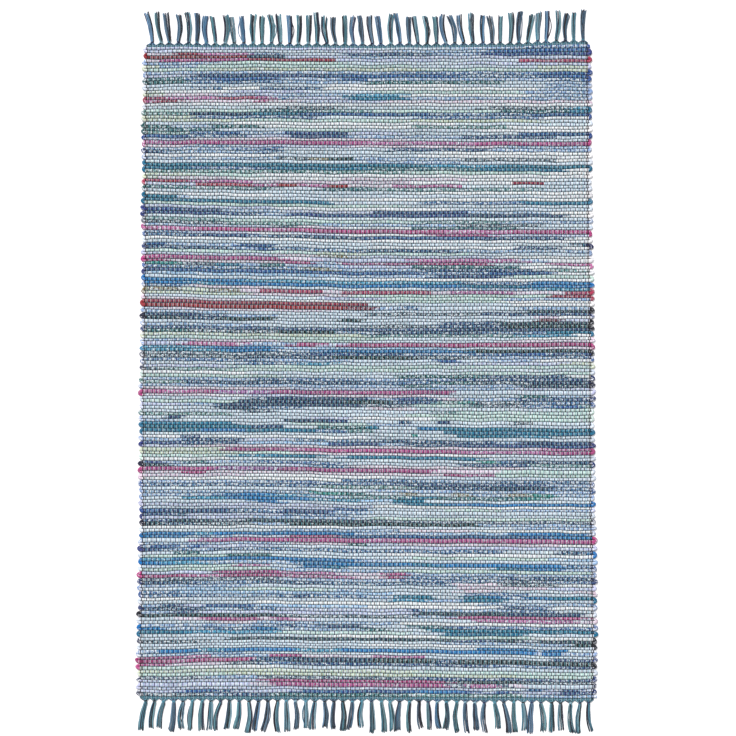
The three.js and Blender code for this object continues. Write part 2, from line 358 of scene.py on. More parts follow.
# Thick rags push thin ones about: how far a row's upper edge is out of place, in millimetres, at
# every fortieth part of the width.
LUMP = 1.3
LUMPS = np.random.default_rng(8).uniform(-LUMP, LUMP, (ROWS + 1, 41))
LUMPS[[0, -1]] = 0

# The fattest rags, by their rows: how many millimetres fatter each is than the rest. They are
# packed tight, so less of the lumps is left along them.
FAT_ROWS = {
    30: 3.4, 57: 4, 66: 3.4, 76: 2.4, 80: 4, 81: 4, 93: 4, 108: 3.6, 119: 1.8, 120: 1.8,
    126: 2.6, 132: 3.4, 145: 3, 154: 4, 160: 2.4, 161: 2.4, 178: 1.4, 188: 3, 191: 2.4, 198: 3.4,
}
LUMP_LEFT = 0.4
for fat_row, extra in FAT_ROWS.items():
    LUMPS[fat_row] = LUMPS[fat_row] * LUMP_LEFT - extra / 2
    LUMPS[fat_row + 1] = LUMPS[fat_row + 1] * LUMP_LEFT + extra / 2

# Faint waves through the whole weave: the height in millimetres, how fast the wave runs across and
# up the rug, in radians a metre, and where it starts.
ROW_WAVES = [(0.5, 31, 9, 0), (0.4, 53, -17, 2)]
WARP_WAVES = [(1.2, 1.5, 9, 0), (0.5, 2, 27, 1)]


def read_across(rows, across):
    """A value for each point from its row of evenly spaced values, at a share of the way across."""
    last = rows.shape[1] - 1
    place = np.clip(across, 0, 1) * last
    left = np.minimum(place.astype(int), last - 1)
    part = place - left
    part = part * part * (3 - 2 * part)
    points = np.arange(len(across))
    return rows[points, left] * (1 - part) + rows[points, left + 1] * part


def waves(table, x, y):
    """The height of a table's waves at each point, added up, in millimetres."""
    return sum(high * np.sin(over * x + up * y + start) for high, over, up, start in table)


def weave_lie(x, y):
    """Where a point of a perfectly square weave lies in this rug, whose rows and selvedges wander."""
    down = (CLOTH_TOP - y) / CLOTH_LENGTH
    across = (x / WARP_HALF + 1) / 2
    columns = np.stack([np.interp(down, SAG[:, 0], SAG[:, k]) for k in range(1, 6)], axis=1)
    sag = read_across(columns, across)
    edge = np.clip(down, 0, 1) * ROWS
    above = np.minimum(edge.astype(int), ROWS - 1)
    part = (edge - above)[:, None]
    sag += read_across(LUMPS[above] * (1 - part) + LUMPS[above + 1] * part, across)
    sag += waves(ROW_WAVES, x, y)
    return x + waves(WARP_WAVES, x, y) / 1000, y - sag / 1000


def row_y(row):
    """The middle of a row of the square weave."""
    return CLOTH_TOP - (row + 0.5) * ROW_PITCH


def row_at(y):
    """The row that a point of the square weave is in."""
    return np.floor((CLOTH_TOP - y) / ROW_PITCH).astype(int)


def end_x(end):
    """The middle of a warp end of the square weave."""
    return -WARP_HALF + (end + 0.5) * END_PITCH


def end_at(x):
    """The warp end that a point of the square weave is on."""
    return np.floor((x + WARP_HALF) / END_PITCH).astype(int)


def array_of(count, step, merge=False):
    """Repeats the active object count times, a step apart, and applies it."""
    array = bpy.context.object.modifiers.new("Rows", "ARRAY")
    array.count = count
    array.use_relative_offset = False
    array.use_constant_offset = True
    array.constant_offset_displace = step
    array.use_merge_vertices = merge
    array.merge_threshold = CLOSE
    bpy.ops.object.modifier_apply(modifier=array.name)


def points_of(piece):
    """The piece's points as an array of X, Y and Z."""
    points = np.empty(len(piece.data.vertices) * 3)
    piece.data.vertices.foreach_get("co", points)
    return points.reshape(-1, 3)


def set_points(piece, x, y, z):
    piece.data.vertices.foreach_set("co", np.stack([x, y, z], axis=1).ravel())
    piece.data.update()


def note(piece, name, kind, domain, values):
    """Writes an attribute that the piece's material reads."""
    field = "color" if kind == "FLOAT_COLOR" else "vector"
    attribute = piece.data.attributes.new(name, kind, domain)
    attribute.data.foreach_set(field, np.asarray(values, dtype=float).ravel())


def close_ends():
    """Closes the ends of the tube in edit mode, turns its faces outwards, and leaves edit mode."""
    bpy.ops.mesh.select_all(action="SELECT")
    bpy.ops.mesh.fill_holes(sides=0)
    bpy.ops.mesh.select_all(action="SELECT")
    bpy.ops.mesh.normals_make_consistent(inside=False)
    bpy.ops.object.mode_set(mode="OBJECT")


def closed_tubes(sides, radius, start, step, spans, count, apart):
    """A straight tube from start, of so many short spans a step long, closed at both ends. Then so
    many of those tubes, apart from each other. Leaves them as the active object."""
    half_step = np.array(step) / 2
    along_x = abs(step[0]) > 0
    bpy.ops.object.select_all(action="DESELECT")
    bpy.ops.mesh.primitive_cylinder_add(
        vertices=sides,
        radius=radius,
        depth=max(abs(part) for part in step),
        end_fill_type="NOTHING",
        location=np.array(start) + half_step,
        rotation=(0, math.pi / 2, 0) if along_x else (math.pi / 2, 0, 0),
    )
    bpy.ops.object.transform_apply(location=True, rotation=True, scale=True)
    array_of(spans, step, merge=True)
    bpy.ops.object.mode_set(mode="EDIT")
    close_ends()
    array_of(count, apart)
    return bpy.context.object


def lay_flat(piece):
    """Finishes a piece: smooth, with its origin at the frame's, riding on the rug's one body."""
    bpy.ops.object.select_all(action="DESELECT")
    piece.select_set(True)
    bpy.context.view_layer.objects.active = piece
    bpy.ops.object.shade_smooth()
    bpy.ops.object.origin_set(type="ORIGIN_CURSOR")
    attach(piece, "root")


# One row is a tube along the rug's width, with a few more spans at either end for the turns.
span = 2 * WARP_HALF / ROW_SPANS
row_start = -WARP_HALF - TURN_SPANS * span
rags = closed_tubes(
    sides=RAG_SIDES,
    radius=RAG_HALF_WIDTH,
    start=(row_start, row_y(0), MID_HEIGHT),
    step=(span, 0, 0),
    spans=ROW_SPANS + 2 * TURN_SPANS,
    count=ROWS,
    apart=(0, -ROW_PITCH, 0),
)
rags.name = "rag_rows"

# Each rag is as wide as it was torn, so a row swells and thins on its way.
PATTERN_SHIFT = 0.37  # from the cloth's pattern in one row to that in the next
square = points_of(rags)
row = row_at(square[:, 1])
station = np.round((square[:, 0] - row_start) / span).astype(int)
side = square[:, 1] - row_y(row)
rise = square[:, 2] - MID_HEIGHT
dice = np.random.default_rng(5)
fullness = dice.uniform(LEAST_FULL, MOST_FULL, (ROWS, ROW_SPANS + 2 * TURN_SPANS + 1))
fullness[:, 1:-1] = (fullness[:, :-2] + fullness[:, 1:-1] + fullness[:, 2:]) / 3
is_edge = np.abs(rise) < CLOSE
across = np.sign(side) * np.where(is_edge, 1, FLAT_SHARE) * RAG_HALF_WIDTH * fullness[row, station]
height = np.sign(rise) * np.where(is_edge, 0, RAG_HALF_THICK) * fullness[row, station]

# The turns: on the left from the even rows down into the next, on the right from the odd rows.
past = np.clip((np.abs(square[:, 0]) - WARP_HALF) / (TURN_SPANS * span), 0, 1)
on_left = square[:, 0] < 0
goes_down = (row % 2 == 0) == on_left
lone = ~on_left & ((row == 0) | (row == ROWS - 1))
turn = np.where(goes_down, row, row - 1)
sizes = dice.uniform(SHORTEST_TURN, 1.0, (ROWS + 2, 2))
reach = TURN_ROOT + TURN_REACH * sizes[turn + 1, on_left.astype(int)] - RAG_HALF_WIDTH
bend = past * math.pi / 2
outward = np.where(past > 0, reach * np.sin(bend), 0)
inward = np.where(goes_down, -1, 1) * np.where(lone, 0, ROW_PITCH / 2) * (1 - np.cos(bend))
swing = np.where(lone, 0, bend) * np.where(goes_down, -1, 1)
sign = np.where(on_left, -1, 1)
flat_x = np.where(past > 0, sign * WARP_HALF, square[:, 0]) + sign * outward
flat_x = flat_x - sign * np.sin(swing) * across * (past > 0)
flat_y = row_y(row) + inward + np.cos(swing) * across
laid_x, laid_y = weave_lie(flat_x, flat_y)
set_points(rags, laid_x, laid_y, MID_HEIGHT + height)
rag_place = np.stack([flat_x, across / RAG_HALF_WIDTH, row * PATTERN_SHIFT], axis=1)
note(rags, "rag_place", "FLOAT_VECTOR", "POINT", rag_place)

# The weaver works one long strip of rags to and fro, and follows the chart with it. A rag is from a
# third of a row to two rows long, and its tone is how much lighter or darker it is than its cloth.
TONE_SPREAD = 0.6  # from one rag to another
TONE_RIPPLE = 0.16  # along a rag
TONE_GRAIN = 0.4  # from one span to the next
TONE_DEPTH = 0.18  # what a tone of 1 adds to the dye, as a share
LIGHTEST = 0.95  # of any dye
names = list(CLOTHS)
laid = np.zeros((ROWS, ROW_SPANS), dtype=int)
tone = np.zeros((ROWS, ROW_SPANS))
left_over = 0
for r in range(ROWS):
    for k in range(ROW_SPANS):
        if left_over <= 0:
            left_over = dice.integers(ROW_SPANS // 3, 2 * ROW_SPANS)
            current = names.index(dice.choice(list(PLAIN), p=list(PLAIN.values())))
            current_tone = dice.uniform(-TONE_SPREAD, TONE_SPREAD)
        place = k if r % 2 else ROW_SPANS - 1 - k
        laid[r, place] = current
        tone[r, place] = current_tone
        left_over -= 1
for r, run_list in CHART.items():
    start = 0
    for run in run_list.split(", "):
        name, until = run.split()
        end = round(int(until) / 100 * ROW_SPANS)
        if name != "plain":
            laid[r, start:end] = names.index(name)
            tone[r, start:end] = dice.uniform(-TONE_SPREAD, TONE_SPREAD)
        start = end
ripple = dice.normal(0, 1, (ROWS, ROW_SPANS + 4))
ripple = ripple[:, :-4] + ripple[:, 1:-3] + ripple[:, 2:-2] + ripple[:, 3:-1] + ripple[:, 4:]
tone = tone + TONE_RIPPLE * ripple + dice.normal(0, TONE_GRAIN, (ROWS, ROW_SPANS))

# Every face takes its cloth from the chart. A join between two rags is cut slanting, so the two
# long edges of a row change over at different places. A turn is all of one cloth: the darker or
# the redder of its two rows.
QUIET_SHARES = (-0.29, 1.22, 0.07)  # of red, green and blue in how pale and cool a dye is
face_count = len(rags.data.polygons)
corners = np.empty(face_count, dtype=int)
first_corner = np.empty(face_count, dtype=int)
corner_points = np.empty(len(rags.data.loops), dtype=int)
rags.data.polygons.foreach_get("loop_total", corners)
rags.data.polygons.foreach_get("loop_start", first_corner)
rags.data.loops.foreach_get("vertex_index", corner_points)
face_station = np.minimum.reduceat(station[corner_points], first_corner)
slant = dice.integers(-1, 2, (ROWS, 2))
corner_row = row[corner_points]
corner_side = (across[corner_points] > 0).astype(int)
corner_cell = np.repeat(face_station, corners) - TURN_SPANS + slant[corner_row, corner_side]
corner_cell = np.clip(corner_cell, 0, ROW_SPANS - 1)
dyes = np.array([linear(CLOTHS[name][0]) for name in names])
prints = np.array([(CLOTHS[name][1], name == "pebble", name == "lined") for name in names])
face_on_turn = (face_station < TURN_SPANS) | (face_station >= TURN_SPANS + ROW_SPANS)
upper_row = np.clip(turn[corner_points], 0, ROWS - 1)
lower_row = np.clip(upper_row + 1, 0, ROWS - 1)
end_cell = np.where(on_left[corner_points], 0, ROW_SPANS - 1)
quiet = dyes @ QUIET_SHARES
takes_lower = quiet[laid[lower_row, end_cell]] < quiet[laid[upper_row, end_cell]]
turn_row = np.where(takes_lower, lower_row, upper_row)
dyed_row = np.where(np.repeat(face_on_turn, corners), turn_row, corner_row)
cell = laid[dyed_row, corner_cell]
at_corner = tone[dyed_row, np.clip(station[corner_points] - TURN_SPANS, 0, ROW_SPANS - 1)]
lightness = 1 + TONE_DEPTH * at_corner
dye = np.clip(dyes[cell] * lightness[:, None], 0, LIGHTEST)
dye = np.column_stack([dye, np.ones(len(cell))])
faces_down = np.add.reduceat(rise[corner_points], first_corner) < 0
between_ends = (corner_row + np.repeat(faces_down, corners)) % 2
print_kind = np.column_stack([prints[cell], between_ends])
note(rags, "rag_dye", "FLOAT_COLOR", "CORNER", dye)
note(rags, "rag_print", "FLOAT_COLOR", "CORNER", print_kind)


class Wire:
    """A socket of the material being made. Sums on wires add Math nodes to it."""

    tree = None

    def __init__(self, socket):
        self.socket = socket

    @classmethod
    def node(cls, kind, settings=None, sockets=None, out=0):
        """Adds a node of that kind and returns one of its outputs."""
        node = cls.tree.nodes.new("ShaderNode" + kind)
        for name, value in (settings or {}).items():
            setattr(node, name, value)
        for name, value in (sockets or {}).items():
            if isinstance(value, Wire):
                cls.tree.links.new(value.socket, node.inputs[name])
            else:
                node.inputs[name].default_value = value
        return Wire(node.outputs[out])

    def sum(self, operation, other=0.0, swapped=False):
        """Adds a Math node that does this operation."""
        pair = (other, self) if swapped else (self, other)
        return Wire.node("Math", {"operation": operation}, {0: pair[0], 1: pair[1]})

    def __add__(self, other):
        return self.sum("ADD", other)

    def __sub__(self, other):
        return self.sum("SUBTRACT", other)

    def __rsub__(self, other):
        return self.sum("SUBTRACT", other, swapped=True)

    def __mul__(self, other):
        return self.sum("MULTIPLY", other)

    __radd__ = __add__
    __rmul__ = __mul__

    def rises(self, low, high):
        """0 below low, 1 above high, and smooth between."""
        return Wire.node(
            "MapRange",
            {"interpolation_type": "SMOOTHSTEP"},
            {"Value": self, "From Min": low, "From Max": high},
        )

    def mix(self, low, high):
        """A colour from low, where this is 0, to high, where it is 1."""
        return Wire.node("Mix", {"data_type": "RGBA"}, {0: self, 6: low, 7: high}, out=2)


def read(name, out=0):
    """An attribute of the piece: its colour, or output 1 as a vector, or output 3 as its alpha."""
    return Wire.node("Attribute", {"attribute_name": name}, out=out)


def parts_of(kind, wire, count):
    """The first so many parts of a vector or a colour."""
    return [Wire.node("Separate" + kind, {}, {0: wire}, out=k) for k in range(count)]


def noise(vector, scale, detail, stretch=None):
    """Noise along a vector, which is stretched first where that is asked for."""
    if stretch:
        vector = Wire.node("Mapping", {}, {"Vector": vector, "Scale": stretch})
    return Wire.node("TexNoise", {}, {"Vector": vector, "Scale": scale, "Detail": detail})


def cloth_finish(name, roughness, sheen):
    """A new matt material, whose nodes the lines after this call add. Returns it and its shader."""
    material = bpy.data.materials.new(name)
    material.use_nodes = True
    Wire.tree = material.node_tree
    shader = material.node_tree.nodes["Principled BSDF"]
    shader.inputs["Roughness"].default_value = roughness
    shader.inputs["Sheen Weight"].default_value = sheen
    shader.inputs["Sheen Roughness"].default_value = 0.5
    shader.inputs["Specular IOR Level"].default_value = 0.2
    return material, shader


def finish_with(shader, colour, bump, depth):
    """Joins the colour and the relief to the shader."""
    relief = Wire.node("Bump", {}, {"Strength": 1.0, "Distance": depth, "Height": bump})
    Wire.tree.links.new(colour.socket, shader.inputs["Base Color"])
    Wire.tree.links.new(relief.socket, shader.inputs["Normal"])


# A rag is dyed, then flecked, printed or lined, and given painted shade in its folds and along its
# edges where the rows meet. The yarn that goes over it pinches it in, so it puffs up between, with
# painted shade at the pinches.
PALE_FLECK = (0.8, 0.84, 0.88, 1)
PEBBLE = (0.85, 0.86, 0.86, 1)
PENCIL = (0.3, 0.18, 0.14, 1)
PENCIL_PLACE = 0.15  # above a rag's middle, as a share of its half width
# Painted shade, darkening a rag in the valleys of its folds.
PAINTED_CREASE_SHADE = (0.25, 0.27, 0.3, 1)
# Painted shade along a rag's long edges, where the gap to the next row lies in shadow.
PAINTED_EDGE_SHADE = (0.02, 0.02, 0.03, 1)
# Painted shade beside the warp ends that pinch a rag from above.
PAINTED_PINCH_SHADE = (0.03, 0.04, 0.05, 1)
THREADS_ALONG = 9000  # of the cloth, in radians a metre
THREADS_ASIDE = 60  # and for half a rag's width
CLOTH_RELIEF = 0.0012

rag_cotton, shader = cloth_finish("rag_cotton", roughness=0.9, sheen=0.15)
place = read("rag_place", out=1)
dyed = read("rag_dye")
odd = read("rag_print", out=3)
spot = Wire.node("TexCoord", out=3)
along, aside = parts_of("XYZ", place, 2)
fleck_share, pebble_share, line_share = parts_of("Color", read("rag_print"), 3)
streaks = noise(place, 1.0, 3.0, stretch=(60, 3.0, 9))
blotches = noise(place, 1.0, 2.0, stretch=(130, 0.8, 9))
folds = noise(place, 1.0, 2.0, stretch=(9, 1.3, 5))
flecks = noise(spot, 300.0, 2.5)
stones = Wire.node("TexVoronoi", {}, {"Vector": spot, "Scale": 260.0, "Randomness": 0.8})
patchy = (blotches - 0.5) * 0.9 + (streaks - 0.5) * 0.3
fleck_level = (flecks - 0.5) * 0.8 + patchy + (fleck_share - 0.5) * 0.3
flecked = fleck_level.rises(-0.05, 0.06) * (fleck_share * 6).sum("MINIMUM", 1.0)
pale_dye = (flecked * 0.92).mix(dyed, PALE_FLECK)
pebbled = (pebble_share * (1 - stones.rises(0.22, 0.34))).mix(pale_dye, PEBBLE)
pencil = (1 - (aside - PENCIL_PLACE).sum("ABSOLUTE").rises(0.03, 0.08)) * line_share
lined = (pencil * 0.55).mix(pebbled, PENCIL)
# Painted shade: the rag darkens towards its long edges, where the rows meet.
edge = aside.sum("ABSOLUTE").rises(0.7, 1.05)
edge_shaded = (edge * 0.52).mix(lined, PAINTED_EDGE_SHADE)
# Painted shade in the fold valleys.
crease_shaded = (folds.rises(0.35, 0.55) * -0.2 + 0.2).mix(edge_shaded, PAINTED_CREASE_SHADE)
turned = along * (math.pi / 2 / END_PITCH) + (odd - 0.5) * (math.pi / 2)
puff = turned.sum("SINE").sum("ABSOLUTE")
# Painted shade where the yarn pinches the rag, between the puffs.
pinch_shaded = ((1 - puff.rises(0.1, 0.75)) * 0.28).mix(crease_shaded, PAINTED_PINCH_SHADE)
threads = (along * THREADS_ALONG).sum("SINE") * (aside * THREADS_ASIDE).sum("SINE")
bump = folds * 0.6 + streaks * 0.25 + threads * 0.03 + puff * 0.55
finish_with(shader, pinch_shaded, bump, CLOTH_RELIEF)

rags.data.materials.append(rag_cotton)
lay_flat(rags)
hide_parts("rug_cloth")


# The warp
# Two-ply cotton yarn in four colours, six ends to a repeat, which goes over one row of rag and
# under the next, and over and under the thin picks of the header at either end.
REPEATS = 96
WARP_ENDS = REPEATS * REPEAT_ENDS
END_WIDTH = 0.00158
FLOAT_LENGTH = 0.0060  # level on a row, before it dives between two
FLOAT_RISE = 0.0033
PICKS = 3
PICK_PITCH = 0.0019
PICK_RADIUS = 0.0009
HEADER_GAP = 0.0003  # from the last rag to the first pick
HEADER_HEIGHT = 0.002
PICK_RISE = 0.0013  # of an end over or under the middle of a pick
PICK_FLOAT = 0.0009  # level on a pick

# The ends of one repeat from the left, and whether each goes over or under the uppermost row.
REPEAT = [
    ("navy", "over"),
    ("sage", "under"),
    ("sage", "over"),
    ("black", "under"),
    ("teal", "over"),
    ("teal", "under"),
]
SELVEDGE_ENDS = 2  # at either edge, which are dark whatever the repeat says
SELVEDGE_STOUT = 1.5  # how wide those are, as a share of END_WIDTH

# Colour, how much paler the second ply is, and how wide the end is, as a share of END_WIDTH.
YARNS = {
    "navy": ("#141a4c", 0.1, 1.42),
    "sage": ("#a4c6c8", 0.5, 0.87),
    "black": ("#0a090f", 0.05, 1.42),
    "teal": ("#4097a4", 0.3, 0.87),
}
SECOND_PLY = (0.62, 0.72, 0.68, 1)
# Painted shade in the groove between the two plies.
PAINTED_GROOVE_SHADE = (0.01, 0.02, 0.03, 1)
FUZZ = (0.7, 0.75, 0.75, 1)
TWIST_LENGTH = 0.0042  # along the yarn, for one turn of its plies
YARN_RELIEF = 0.0009

# No end is quite like another: how far each may be out of its place, wider or narrower, and paler or
# darker, and how far its twist is from its neighbour's.
END_WOBBLE = 0.00018
WIDTH_SPREAD = 0.1
FADE_SPREAD = 0.15
TWIST_SHIFT = 0.0017


def yarn_dye(name):
    """A yarn's colour, with how much the plies differ as its alpha."""
    return np.append(linear(YARNS[name][0]), YARNS[name][1])


yarn_cotton, shader = cloth_finish("yarn_cotton", roughness=0.88, sheen=0.1)
turns = read("yarn_place", out=1)
dyed = read("yarn_dye")
marl = read("yarn_dye", out=3)
around, along = parts_of("XYZ", turns, 2)
ply = (around * (2 * math.pi) + along * (2 * math.pi / TWIST_LENGTH)).sum("SINE")
fuzz = noise(turns, 700.0, 2.0)
groove = 1 - ply.sum("ABSOLUTE").rises(0.0, 0.5)
marled = (ply.rises(-0.6, 0.6) * marl * 0.42).mix(dyed, SECOND_PLY)
# Painted shade in the groove between the plies.
groove_shaded = (groove * 0.35).mix(marled, PAINTED_GROOVE_SHADE)
fuzzed = (fuzz.rises(0.45, 0.75) * (marl * 0.4 + 0.02)).mix(groove_shaded, FUZZ)
roundness = (around * math.pi).sum("SINE")
finish_with(shader, fuzzed, roundness * 0.7 + ply * 0.15 + fuzz * 0.15, YARN_RELIEF)


def draw_out(ribbon, steps, at_top):
    """Extrudes the ribbon's upper or lower edge by each step in turn."""
    points = points_of(ribbon)
    edge_y = points[:, 1].max() if at_top else points[:, 1].min()
    bpy.ops.object.mode_set(mode="EDIT")
    bpy.ops.mesh.select_mode(type="EDGE")
    bpy.ops.mesh.select_all(action="DESELECT")
    bpy.ops.object.mode_set(mode="OBJECT")
    for edge in ribbon.data.edges:
        edge.select = all(abs(points[v, 1] - edge_y) < CLOSE for v in edge.vertices)
    bpy.ops.object.mode_set(mode="EDIT")
    for forth, up in steps:
        bpy.ops.mesh.extrude_region_move(TRANSFORM_OT_translate={"value": (0, forth, up)})
    bpy.ops.object.mode_set(mode="OBJECT")


def header_steps(side, outwards):
    """How an end that lies on this side of the first pick goes through the picks of the header."""
    steps = [(outwards * PICK_FLOAT, 0)]
    for _ in range(PICKS - 1):
        side = -side
        steps.append((outwards * (PICK_PITCH - PICK_FLOAT), side * 2 * PICK_RISE))
        steps.append((outwards * PICK_FLOAT, 0))
    return steps


def warp_ends(name):
    """All ends of one colour, each a flat ribbon from one fringe to the other."""
    dip = ROW_PITCH - FLOAT_LENGTH
    to_pick = HEADER_GAP + (PICK_PITCH - PICK_FLOAT) / 2
    parts = []
    for end, (colour, start) in enumerate(REPEAT):
        if colour != name:
            continue
        side = 1 if start == "over" else -1
        rise = side * FLOAT_RISE
        pick_height = HEADER_HEIGHT - side * PICK_RISE
        bpy.ops.object.select_all(action="DESELECT")
        bpy.ops.mesh.primitive_plane_add(size=1, location=(end_x(end), row_y(0), MID_HEIGHT + rise))
        bpy.ops.transform.resize(value=(END_WIDTH, FLOAT_LENGTH, 1))
        bpy.ops.object.transform_apply(location=True, rotation=True, scale=True)
        ribbon = bpy.context.object
        draw_out(ribbon, [(-dip, -2 * rise), (-FLOAT_LENGTH, 0), (-dip, 2 * rise)], at_top=False)
        array_of(ROWS // 2, (0, -2 * ROW_PITCH, 0), merge=True)

        # The last dive ends on the header's first pick, and one more dive leads to it at the top.
        points = points_of(ribbon)
        lowest = points[:, 1] < points[:, 1].min() + CLOSE
        points[lowest, 1] = CLOTH_END - to_pick
        points[lowest, 2] = HEADER_HEIGHT + side * PICK_RISE
        set_points(ribbon, *points.T)
        draw_out(ribbon, header_steps(side, -1), at_top=False)
        first_dive = (dip / 2 + to_pick, pick_height - MID_HEIGHT - rise)
        draw_out(ribbon, [first_dive, *header_steps(-side, 1)], at_top=True)
        array_of(REPEATS, (REPEAT_WIDTH, 0, 0))
        parts.append(ribbon)
    bpy.ops.object.select_all(action="DESELECT")
    for part in parts:
        part.select_set(True)
    bpy.context.view_layer.objects.active = parts[0]
    if len(parts) > 1:
        bpy.ops.object.join()
    return bpy.context.object


def dye_yarn(piece, around, along, colours):
    """Writes what the yarn's material reads, and gives the piece that material."""
    place = np.stack([around, along, np.zeros_like(along)], axis=1)
    note(piece, "yarn_place", "FLOAT_VECTOR", "POINT", place)
    note(piece, "yarn_dye", "FLOAT_COLOR", "POINT", colours)
    piece.data.materials.clear()
    piece.data.materials.append(yarn_cotton)


for number, name in enumerate(YARNS):
    warp = warp_ends(name)
    warp.name = name + "_warp"
    square = points_of(warp)
    end = end_at(square[:, 0])
    row = np.clip(row_at(square[:, 1]), -1, ROWS) + 1
    middle = end_x(end)
    dice = np.random.default_rng(40 + number)
    wobble = dice.normal(0, END_WOBBLE, (WARP_ENDS, ROWS + 2))
    widen = dice.uniform(1 - WIDTH_SPREAD, 1 + WIDTH_SPREAD, (WARP_ENDS, ROWS + 2))
    on_selvedge = (end < SELVEDGE_ENDS) | (end >= WARP_ENDS - SELVEDGE_ENDS)
    stout = np.where(on_selvedge, SELVEDGE_STOUT, YARNS[name][2])
    flat_x = middle + (square[:, 0] - middle) * stout * widen[end, row] + wobble[end, row]
    laid_x, laid_y = weave_lie(flat_x, square[:, 1])
    set_points(warp, laid_x, laid_y, square[:, 2])
    around = (square[:, 0] - middle) / END_WIDTH + 0.5
    fade = dice.uniform(1 - FADE_SPREAD, 1 + FADE_SPREAD, (WARP_ENDS, 1))
    colours = yarn_dye(name) * np.column_stack([fade[end]] * 3 + [np.ones(len(end))])
    colours[on_selvedge] = yarn_dye("black")
    dye_yarn(warp, around, square[:, 1] + end * TWIST_SHIFT, colours)
    lay_flat(warp)


# The header
# Three picks of teal and sage yarn at either end, beaten close to the last rag. They keep it from
# working loose, and the knots of the fringe sit against them.
PICK_SPANS = 96
PICK_ENDS = 0.0012  # past the outermost warp ends
PICK_YARNS = ("teal", "sage", "teal")
PICK_TINT = (0.6, 0.8, 1, 1)
RUG_ENDS = [("upper", 1, CLOTH_TOP), ("lower", -1, CLOTH_END)]

for place_name, outwards, edge_y in RUG_ENDS:
    pick_length = 2 * (WARP_HALF + PICK_ENDS)
    first_y = edge_y + outwards * (HEADER_GAP + PICK_PITCH / 2)
    picks = closed_tubes(
        sides=6,
        radius=PICK_RADIUS,
        start=(-pick_length / 2, first_y, HEADER_HEIGHT),
        step=(pick_length / PICK_SPANS, 0, 0),
        spans=PICK_SPANS,
        count=PICKS,
        apart=(0, outwards * PICK_PITCH, 0),
    )
    picks.name = place_name + "_picks"
    square = points_of(picks)
    pick = np.floor((square[:, 1] - edge_y) * outwards / PICK_PITCH).astype(int)
    centre_y = first_y + outwards * pick * PICK_PITCH
    around = (square[:, 1] - centre_y) / (2 * PICK_RADIUS) + 0.5
    laid_x, laid_y = weave_lie(square[:, 0], square[:, 1])
    set_points(picks, laid_x, laid_y, square[:, 2])
    pick_dyes = np.array([yarn_dye(name) for name in PICK_YARNS]) * PICK_TINT
    colours = pick_dyes[np.clip(pick, 0, PICKS - 1)]
    dye_yarn(picks, around, square[:, 0] + pick * PATTERN_SHIFT, colours)
    lay_flat(picks)


# The fringe
# The warp ends are left long at both ends of the rug and tied twelve at a time in an overhand knot
# against the header, so that nothing unravels. They lie as they were last combed.
TASSELS = 48
ENDS_PER_TASSEL = 12
TASSEL_PITCH = 2 * WARP_HALF / TASSELS
ROOT = 0.0083  # from the cloth's end to the header's outer edge
LOCK_ROOT = 0.0095  # from there to where the knot lets the strands go
LONGEST = (0.093, 0.089)  # from the header to a tassel's tip, at the upper end and the lower
STRAND_SPANS = 11
STRAND_LENGTH = 0.09  # before it is laid
STRAND_RADIUS = 0.0010
COMBED_OUT = 1.12  # how much fuller a strand is than its yarn

# Combed out, a tassel shows more of one of its colours or another, and its strands are unevenly
# faded.
TASSEL_TINTS = [
    (0.5, 0.95, 1.15), (0.4, 0.72, 1.25), (0.7, 1.05, 1.3), (0.4, 0.9, 1.05), (0.3, 0.52, 0.85),
]
DARKEST_STRAND = 0.32
PALEST_STRAND = 0.75
STRAND_TWIST_SHIFT = 0.0013

# How far the tassels lean towards +X at their tips, in degrees, at a share of the rug's width.
UPPER_LEAN = [
    (0.0, -11), (0.06, -5), (0.2, -3), (0.36, 2), (0.45, -3), (0.55, -3),
    (0.63, -7), (0.72, -8), (0.8, 0), (0.86, 8), (0.93, 7), (1.0, 3),
]
LOWER_LEAN = [
    (0.0, -9), (0.1, -5), (0.24, -8), (0.34, -2), (0.46, -4), (0.52, 3),
    (0.58, -3), (0.65, 6), (0.71, 0), (0.79, 6), (0.88, 0), (1.0, 2),
]

# How the strands come together: how far out of the header, how much of their spread they still
# keep, and the height of those that lie below and of those on top of them.
TIED_HEIGHTS = (0.0022, 0.0035)
GATHER = [
    (-0.0034, 1, (0.0020, 0.0020)),
    (-0.0014, 0.85, (0.0017, 0.0025)),
    (0.0022, 0.3, TIED_HEIGHTS),
]
TIED_APART = 0.0016  # from one lock to the next inside the knot
TIED_PAIR = 0.0005  # a strand from the middle of its lock there
KNOT_LIFT = 0.0005
COMBED_HEIGHTS = (0.0011, 0.0025)
SETTLED = 0.25  # how much lower than that the upper ones have sunk at the tip, as a share

# A lock of the tassel: at a share of its length, how far its middle is from the tassel's.
LOCK_APART = [(0.0, 0.0032), (0.5, 0.0046), (1.0, 0.0051)]
PAIR_APART = 0.0008  # a strand from the middle of its lock where the knot lets it go
PAIR_OPENS = 0.0002  # and how much more than that once it is loose

# How uneven the tassels are, each the most that chance makes of it.
TASSEL_SHORTER = 0.012
LOCK_SHORTER = 0.005
STRAND_SHORTER = 0.006
ROOT_SWAY = 0.002
LEAN_SWAY = 5.5  # degrees
BOW = 0.005
LEAST_OPEN = 0.85  # how far a tassel's locks stand apart, as a share of LOCK_APART
OPEN_SPREAD = 0.3
STRAND_DRIFT = 0.0014
STRAND_WANDER = 0.0007
STRAY_SHARE = 0.03  # of the strands, which have come out of their lock
STRAY_REACH = 0.008
SORTED_LOOSELY = 0.35  # 0 if each lock were of one colour

